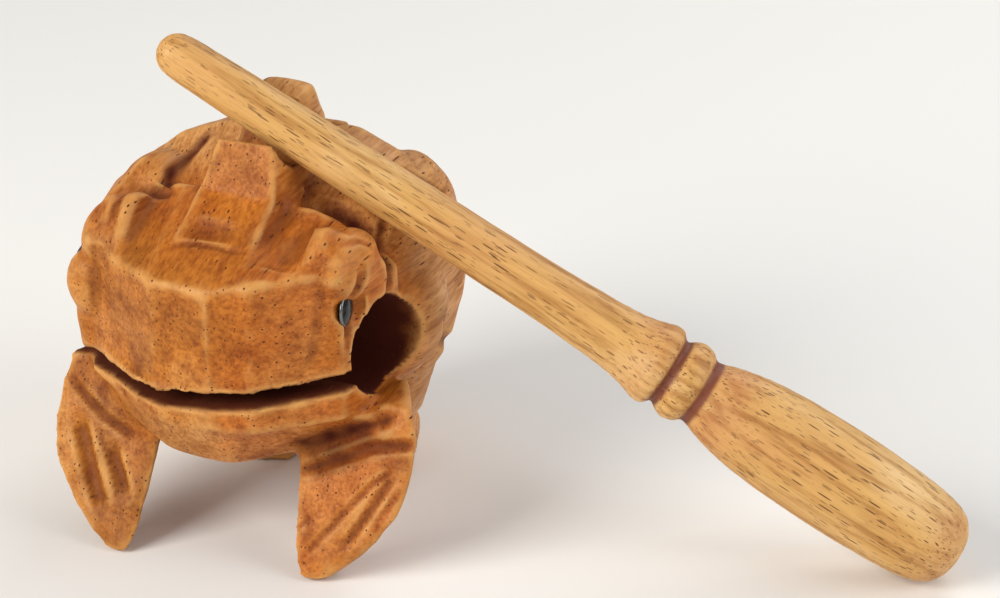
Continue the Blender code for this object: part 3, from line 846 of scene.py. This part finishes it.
def softened(points, edges, steps):
    """The points with their facets worn round, but for the crisp shapes and the soles."""
    softness = 1 - CRISP_HOLD * kept_sharp(points)
    softness[points[:, 2] < SOLE_HEIGHT] *= SOLE_SOFTNESS
    points = relaxed(points, edges, steps, softness[:, None])
    hands = (1 - fade(points[:, 2], *HAND_TOP)) * (1 - fade(points[:, 1], *HAND_BACK)) * softness
    teeth = fade(points[:, 2], *TOOTH_FOOT) * fade(points[:, 1], *TOOTH_FRONT)
    return relaxed(points, edges, HAND_SOFTENING, np.maximum(hands, teeth)[:, None])


def rippled(points, normals, height):
    """The points moved by the uneven knife work, which leaves crisp shapes and the bore alone."""
    crisp = kept_sharp(points)
    ripple = smooth_noise(points, 6.0, 1) + 0.5 * smooth_noise(points, 2.6, 2)
    ripple = ripple * (1 - crisp) * (1 - inside_bore(points, 1.0)) * height
    return points + normals * np.minimum(ripple, RIPPLE_LIMIT)[:, None]


def paint_wear_and_shading(mesh, points, edges, stain_and_painted_shade):
    """Worn edges with painted highlights, painted shade in the hollows, stain with painted shade,
    side grain and a redder front with painted shade, as attributes that the wood reads.
    """
    normals = vertex_data(mesh, "normal")
    near = ((relaxed(points, edges, EDGE_STEPS) - points) * normals).sum(axis=1)
    wide = ((relaxed(points, edges, HOLLOW_STEPS) - points) * normals).sum(axis=1)
    broken = 0.75 + 0.5 * smooth_noise(points, 3.0, 4)
    # convex edges lighter: real wear and painted highlights
    worn = fade(-near - 0.12 * wide, 0.02, 0.20) * 0.85 * np.clip(broken, 0.2, 1.2)
    stain_and_painted_shade = stain_and_painted_shade * np.clip(broken + 0.15, 0.6, 1.15)
    stain_and_painted_shade = np.maximum(stain_and_painted_shade, inner_stain_and_painted_shade(points, normals))
    set_attribute(mesh, "edge_wear_and_highlight", worn)
    # concave places darker: painted shade in the hollows
    set_attribute(mesh, "painted_hollow_shade", fade(wide + near, 0.12, 0.8) * 0.55)
    set_attribute(mesh, "stain_and_painted_shade", np.clip(stain_and_painted_shade, 0.0, 1.0))
    set_attribute(mesh, "side_grain", side_grain(points, normals))
    set_attribute(mesh, "redder_front_and_painted_shade", redder_front_and_painted_shade(points))


class GUIRO_OT_frog(bpy.types.Operator):
    """Carve the frog: soften the solid's facets, cut the knife strokes, and paint stain and shade
    into the cuts and hollows
    """

    bl_idname = "guiro.frog"
    bl_label = "Carve frog"

    def execute(self, context):
        settings = context.scene.guiro_frog
        frog = copied_solid("frog_body", "carved_frog")
        fill_out(frog)
        apply_modifier(frog, "REMESH", mode="VOXEL", voxel_size=settings.voxel)
        mesh = frog.data
        edges = np.empty(len(mesh.edges) * 2, dtype=np.int32)
        mesh.edges.foreach_get("vertices", edges)
        edges = edges.reshape(-1, 2)
        origin = np.array(FROG_ORIGIN)
        points = (vertex_data(mesh, "co") - origin) / MM

        points = softened(points, edges, settings.softening)
        set_points(mesh, points * MM + origin)
        normals = vertex_data(mesh, "normal")
        points = rippled(points, normals, settings.ripple / MM)
        points, stain_and_painted_shade = carve(points, normals)
        points = rag_the_lip(points, normals)
        points = relaxed(points, edges, 1, 0.5)
        set_points(mesh, points * MM + origin)

        paint_wear_and_shading(mesh, points, edges, stain_and_painted_shade)
        mesh.materials.append(carved_wood(settings))
        activate(frog)
        bpy.ops.object.shade_smooth()
        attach(frog, "frog")
        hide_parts("frog_body")
        return {"FINISHED"}


def inner_stain_and_painted_shade(points, normals):
    """Stain and painted shade in the sawn mouth and the bore, and the stick's painted shadow in the
    first notch, deeper further in.
    """
    height = np.abs(slit_height(points))
    facing_out = np.clip(-normals[:, 1], 0.0, 1.0)
    # the slit's floor: darker sawn wood, and painted shade that deepens away from the opening
    in_slit = (1 - fade(height, SLIT_HALF + 0.1, SLIT_HALF + 0.6)) * (points[:, 1] < BORE_Y)
    in_slit = in_slit * (1 - 0.5 * facing_out)
    broken = 1.6 * smooth_noise(points, 2.5, 5)
    # the bore: darker stain, with painted shade deepening towards its middle
    in_bore = inside_bore(points, 0.25) * fade(BORE_MOUTH - np.abs(points[:, 0]) + broken, 0.0, 6.0)
    # painted shadow of the stick in the first notch
    y, z, radius = NOTCHES[0]
    reach = np.hypot(points[:, 1] - y, points[:, 2] - z)
    in_notch = (reach < radius + 0.5) * (np.abs(points[:, 0]) < SPINE_HALF)
    return np.maximum.reduce([0.95 * in_slit, in_bore, 0.35 * in_notch])


def redder_front_and_painted_shade(points):
    """Where the wood is painted deeper red-orange: painted shade on the front's left half, which is
    turned from the key light, and a redder tone on the tops.
    """
    front = 1 - fade(points[:, 1], -12.0, 0.0)
    left = fade(points[:, 0], -2.0, 9.0)
    top = fade(points[:, 2], 57.0, 61.0) * (1 - fade(points[:, 2], 66.0, 72.0))
    blotch = 0.85 + 0.5 * smooth_noise(points, 9.0, 7)
    return np.clip(front * np.maximum(0.60 * left, 0.45 * top) * blotch, 0.0, 0.8)


def side_grain(points, normals):
    """How much each spot shows the paler wood of the flanks and the back."""
    behind = fade(points[:, 1], -10.0, 2.0)
    under = fade(34.0 - points[:, 2], 0.0, 6.0) * fade(-normals[:, 2], 0.1, 0.6)
    chin = under * (points[:, 1] < -10.0)
    right = fade(-points[:, 0], 14.0, 26.0) * fade(points[:, 2], 54.0, 62.0)
    blotch = 0.75 + 0.4 * smooth_noise(points, 11.0, 6)
    shown = np.maximum.reduce([0.8 * behind, 0.5 * chin, 0.3 * right])
    return np.clip(shown * blotch, 0.0, 0.9)


# ---------------------------------------------------------------- turned pieces


def turned(name, profile, sides):
    """A piece turned about Z: a disc, extruded and resized from each step of the profile."""
    deselect_all()
    start, radius = profile[0]
    bpy.ops.mesh.primitive_circle_add(
        vertices=sides, radius=radius * MM, fill_type="NGON", location=(0.0, 0.0, start * MM)
    )
    obj = bpy.context.object
    obj.name = name
    bpy.ops.object.transform_apply(location=True, rotation=True, scale=True)
    bpy.ops.object.mode_set(mode="EDIT")
    bpy.ops.mesh.select_all(action="SELECT")
    for (before, old), (height, new) in zip(profile, profile[1:]):
        rise = (0.0, 0.0, (height - before) * MM)
        bpy.ops.mesh.extrude_region_move(TRANSFORM_OT_translate={"value": rise})
        bpy.ops.transform.resize(value=(new / old, new / old, 1.0))
    bpy.ops.mesh.select_all(action="SELECT")
    bpy.ops.mesh.normals_make_consistent(inside=False)
    bpy.ops.object.mode_set(mode="OBJECT")
    return obj


def facing(direction, place):
    """Turns +Z to a direction at a place in metres."""
    turn = Vector(direction).to_track_quat("Z", "Y")
    return Matrix.Translation(place) @ turn.to_matrix().to_4x4()


def striker_place():
    """Tip and direction of the solid striker, from its own mesh."""
    points = vertex_data(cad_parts["striker"].data, "co")
    middle = points.mean(axis=0)
    _, _, axes = np.linalg.svd(points - middle, full_matrices=False)
    axis = axes[0] if axes[0][2] < 0 else -axes[0]
    along = (points - middle) @ axis
    return Vector(middle + axis * along.min()), Vector(axis)


def stick_wood(settings, place):
    """Pale turned wood with dark pore lines along the stick and burnt grooves."""
    build = MaterialBuilder("stick_wood")
    turn = build.add("ShaderNodeMapping", vector_type="TEXTURE")
    build.set(turn.inputs["Vector"], build.place())
    turn.inputs["Location"].default_value = place.to_translation()
    turn.inputs["Rotation"].default_value = place.to_euler()
    where = turn.outputs["Vector"]
    wood = tuple(settings.wood)
    reddish = mixed(wood, STICK_REDDISH, 0.55)
    pale = mixed(wood, STICK_PALE, 0.6)
    blotch = build.noise(where, STICK_BLOTCHES, 1.0, 3.0, 0.5)
    colour = build.ramp(blotch, ((0.32, reddish), (0.5, wood), (0.68, pale)))
    streak = build.noise(where, STICK_STREAKS, 1.0, 4.0, 0.6)
    tone = build.tones(streak, (0.34, (0.64, 0.50, 0.32)), 0.5, (0.66, (1.12, 1.15, 1.22)))
    colour = build.mix(0.9, colour, tone, "MULTIPLY")
    fibre = build.noise(where, STICK_FIBRES, 1.0, 3.0, 0.6)
    threads = build.ramp(fibre, ((0.34, (0.78, 0.72, 0.60)), (0.5, WHITE)))
    colour = build.mix(0.55, colour, threads, "MULTIPLY")
    pores = build.pores(where, STICK_PORES, 0.21)
    patch = build.noise(where, STICK_PATCHES, 1.0, 2.0, 0.5)
    shown = build.ramp(patch, ((0.36, grey(0.25)), (0.52, WHITE)))
    fine_pores = build.pores(where, STICK_FINE_PORES, 0.20)
    pores = build.math("MULTIPLY", pores, shown)
    pores = build.math("MAXIMUM", pores, build.math("MULTIPLY", fine_pores, 0.6))
    colour = build.mix(pores, colour, tuple(settings.pore))
    colour = build.mix(build.attribute("rub"), colour, STICK_RUBBED)
    colour = build.mix(build.attribute("burn"), colour, tuple(settings.burn))
    build.link(colour, "Base Color")
    build.link(build.ramp(streak, ((0.3, grey(0.66)), (0.7, grey(0.50)))), "Roughness")
    build.bump(((fibre, 0.00004), (streak, 0.00007), (pores, -0.00018)))
    return build.material


def scraped(points):
    """The turned points with the fine ridges that the lathe left."""
    radial = points * np.array([1.0, 1.0, 0.0])
    radius = np.maximum(np.linalg.norm(radial, axis=1), 0.001)
    uneven = smooth_noise(points * np.array([1.0, 1.0, 0.12]), 2.2, 8)
    ridges = 0.035 * np.sin(points[:, 2] * 2.9) + 0.06 * uneven
    height = np.minimum(ridges - 0.03, 0.02) * fade(radius, 1.0, 3.0)
    return points + radial / radius[:, None] * height[:, None]


def rubbed(points):
    """How much each point of the stick is reddened by handling, and a little at its tip."""
    distance = points[:, 2]
    rub = 0.35 * fade(2.5 - distance, 0.0, 2.0)
    for place, spread, strength in RUBS:
        rub = np.maximum(rub, strength * np.exp(-(((distance - place) / spread) ** 2)))
    patch = 0.8 + 0.4 * smooth_noise(points, 4.0, 9)
    return np.clip(rub * patch * 0.42, 0.0, 1.0)


class GUIRO_OT_striker(bpy.types.Operator):
    """Turn the stick on its profile and lay it across the first notch"""

    bl_idname = "guiro.striker"
    bl_label = "Turn striker"

    def execute(self, context):
        settings = context.scene.guiro_striker
        stick = turned("turned_striker", STRIKER_PROFILE, settings.sides)
        apply_modifier(stick, "SUBSURF", levels=2, render_levels=2)
        mesh = stick.data
        points = scraped(vertex_data(mesh, "co") / MM)
        groove = np.min([np.abs(points[:, 2] - place) for place in GROOVES], axis=0)
        set_attribute(mesh, "rub", rubbed(points))
        set_attribute(mesh, "burn", (1 - fade(groove, 0.55, 1.35)) * 0.95)
        tip, axis = striker_place()
        place = facing(axis, tip)
        set_points(mesh, points * MM)
        mesh.transform(place)
        mesh.materials.append(stick_wood(settings, place))
        activate(stick)
        bpy.ops.object.shade_smooth()
        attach(stick, "striker")
        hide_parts("striker")
        return {"FINISHED"}


def tack_finish(settings):
    """Dark polished metal with fine handling marks."""
    build = MaterialBuilder("polished_tack")
    where = build.place()
    cloud = build.noise(where, (1, 1, 1), 700.0, 3.0, 0.5)
    scratch = build.noise(where, (2600, 400, 900), 1.0, 2.0, 0.6)
    low, high = scaled(settings.head, 0.7), scaled(settings.head, 1.8)
    colour = build.ramp(cloud, ((0.3, low), (0.7, high)))
    # a lighter ring at the head's edge: painted reflection
    build.link(build.mix(build.attribute("rim"), colour, RIM_REFLECTION_GREY), "Base Color")
    build.link(build.ramp(scratch, ((0.3, grey(0.10)), (0.7, grey(0.22)))), "Roughness")
    build.bump(((scratch, 0.000006),))
    build.shader.inputs["Metallic"].default_value = 0.75
    return build.material


class GUIRO_OT_eyes(bpy.types.Operator):
    """Turn the two domed tacks and set them in their hollows"""

    bl_idname = "guiro.eyes"
    bl_label = "Set eyes"

    def execute(self, context):
        settings = context.scene.guiro_eyes
        finish = tack_finish(settings)
        for node, place, direction, settle in EYES:
            tack = turned(f"{node}_head", TACK_PROFILE, settings.sides)
            apply_modifier(tack, "SUBSURF", levels=2, render_levels=2)
            points = vertex_data(tack.data, "co") / MM
            radius = np.hypot(points[:, 0], points[:, 1])
            front = points[:, 2] > TACK_FRONT
            # painted reflection: a lighter ring at the front edge of the head
            set_attribute(tack.data, "rim", fade(radius, *TACK_RIM) * front * 0.35)
            seat = to_world(place) + Vector(settle) * MM
            tack.data.transform(facing(direction, seat))
            tack.data.materials.append(finish)
            activate(tack)
            bpy.ops.object.shade_smooth()
            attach(tack, "frog")
            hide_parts(node)
        return {"FINISHED"}


# ---------------------------------------------------------------- stage


def floor_finish(settings):
    """A plain matt floor, very slightly cloudy."""
    build = MaterialBuilder("studio_floor")
    cloud = build.noise(build.place(), (1, 1, 1), 3.0, 2.0, 0.5)
    shade = scaled(settings.floor, 0.985)
    build.link(build.ramp(cloud, ((0.3, shade), (0.7, tuple(settings.floor)))), "Base Color")
    build.shader.inputs["Roughness"].default_value = 0.9
    build.shader.inputs["Specular IOR Level"].default_value = 0.1
    return build.material


def area_light(name, place, aim, size, power, colour):
    """A square light at a place, turned towards its aim."""
    data = bpy.data.lights.new(name, "AREA")
    data.shape = "SQUARE"
    data.size = size
    data.energy = power
    data.color = colour
    light = bpy.data.objects.new(name, data)
    bpy.context.scene.collection.objects.link(light)
    light.matrix_world = facing(place - aim, place)


def lay_floor(settings):
    deselect_all()
    bpy.ops.mesh.primitive_grid_add(
        x_subdivisions=8, y_subdivisions=8, size=FLOOR_SIZE, location=(0.0, 0.0, -FLOOR_DROP)
    )
    floor = bpy.context.object
    floor.name = "floor"
    bpy.ops.object.transform_apply(location=True, rotation=False, scale=False)
    floor.data.materials.append(floor_finish(settings))


def light_sky(scene, strength):
    world = bpy.data.worlds.new("studio")
    scene.world = world
    world.use_nodes = True
    sky = world.node_tree.nodes["Background"]
    sky.inputs["Color"].default_value = SKY_COLOUR
    sky.inputs["Strength"].default_value = strength


def place_camera(scene):
    """The camera, level from side to side, at the view's angles and distance from its target."""
    right = Vector((math.cos(VIEW_AZIMUTH), math.sin(VIEW_AZIMUTH), 0.0))
    level = math.cos(VIEW_ELEVATION)
    back = Vector((
        math.sin(VIEW_AZIMUTH) * level,
        -math.cos(VIEW_AZIMUTH) * level,
        math.sin(VIEW_ELEVATION),
    ))
    turn = Matrix((right, back.cross(right), back)).transposed().to_4x4()
    data = bpy.data.cameras.new("camera")
    data.sensor_width = SENSOR
    data.lens = LENS
    data.clip_start = 0.01
    data.clip_end = 20.0
    camera = bpy.data.objects.new("camera", data)
    scene.collection.objects.link(camera)
    place = to_world(VIEW_TARGET) + back * VIEW_DISTANCE * MM
    camera.matrix_world = Matrix.Translation(place) @ turn
    scene.camera = camera


class GUIRO_OT_stage(bpy.types.Operator):
    """Lay the floor, hang the lights and place the camera"""

    bl_idname = "guiro.stage"
    bl_label = "Set stage"

    def execute(self, context):
        settings = context.scene.guiro_stage
        scene = context.scene
        lay_floor(settings)
        middle = to_world(LIT_MIDDLE)
        for name, offset, size, share, colour in LIGHTS:
            place = middle + Vector(offset)
            area_light(name, place, middle, size, settings.key * share, colour)
        light_sky(scene, settings.sky)
        scene.view_settings.view_transform = "Standard"
        place_camera(scene)
        return {"FINISHED"}


class GUIRO_PT_panel(bpy.types.Panel):
    """Sizes, colours and the steps of the build"""

    bl_idname = "GUIRO_PT_panel"
    bl_label = "Carved frog guiro"
    bl_space_type = "VIEW_3D"
    bl_region_type = "UI"
    bl_category = "Guiro"

    def draw(self, context):
        for owner, operator in STEPS:
            box = self.layout.box()
            settings = getattr(context.scene, owner)
            for name in settings.__annotations__:
                box.prop(settings, name)
            box.operator(operator)


STEPS = (
    ("guiro_stage", "guiro.stage"),
    ("guiro_frog", "guiro.frog"),
    ("guiro_eyes", "guiro.eyes"),
    ("guiro_striker", "guiro.striker"),
)
SETTINGS = {
    "guiro_stage": StageSettings,
    "guiro_frog": FrogSettings,
    "guiro_eyes": EyeSettings,
    "guiro_striker": StrikerSettings,
}
CLASSES = (
    *SETTINGS.values(),
    GUIRO_OT_stage,
    GUIRO_OT_frog,
    GUIRO_OT_eyes,
    GUIRO_OT_striker,
    GUIRO_PT_panel,
)


def register():
    for made in CLASSES:
        bpy.utils.register_class(made)
    for name, settings in SETTINGS.items():
        setattr(bpy.types.Scene, name, PointerProperty(type=settings))


def unregister():
    for name in SETTINGS:
        delattr(bpy.types.Scene, name)
    for made in reversed(CLASSES):
        bpy.utils.unregister_class(made)


def main():
    register()
    bpy.ops.guiro.stage()
    bpy.ops.guiro.frog()
    bpy.ops.guiro.eyes()
    bpy.ops.guiro.striker()


if __name__ == "__main__":
    main()
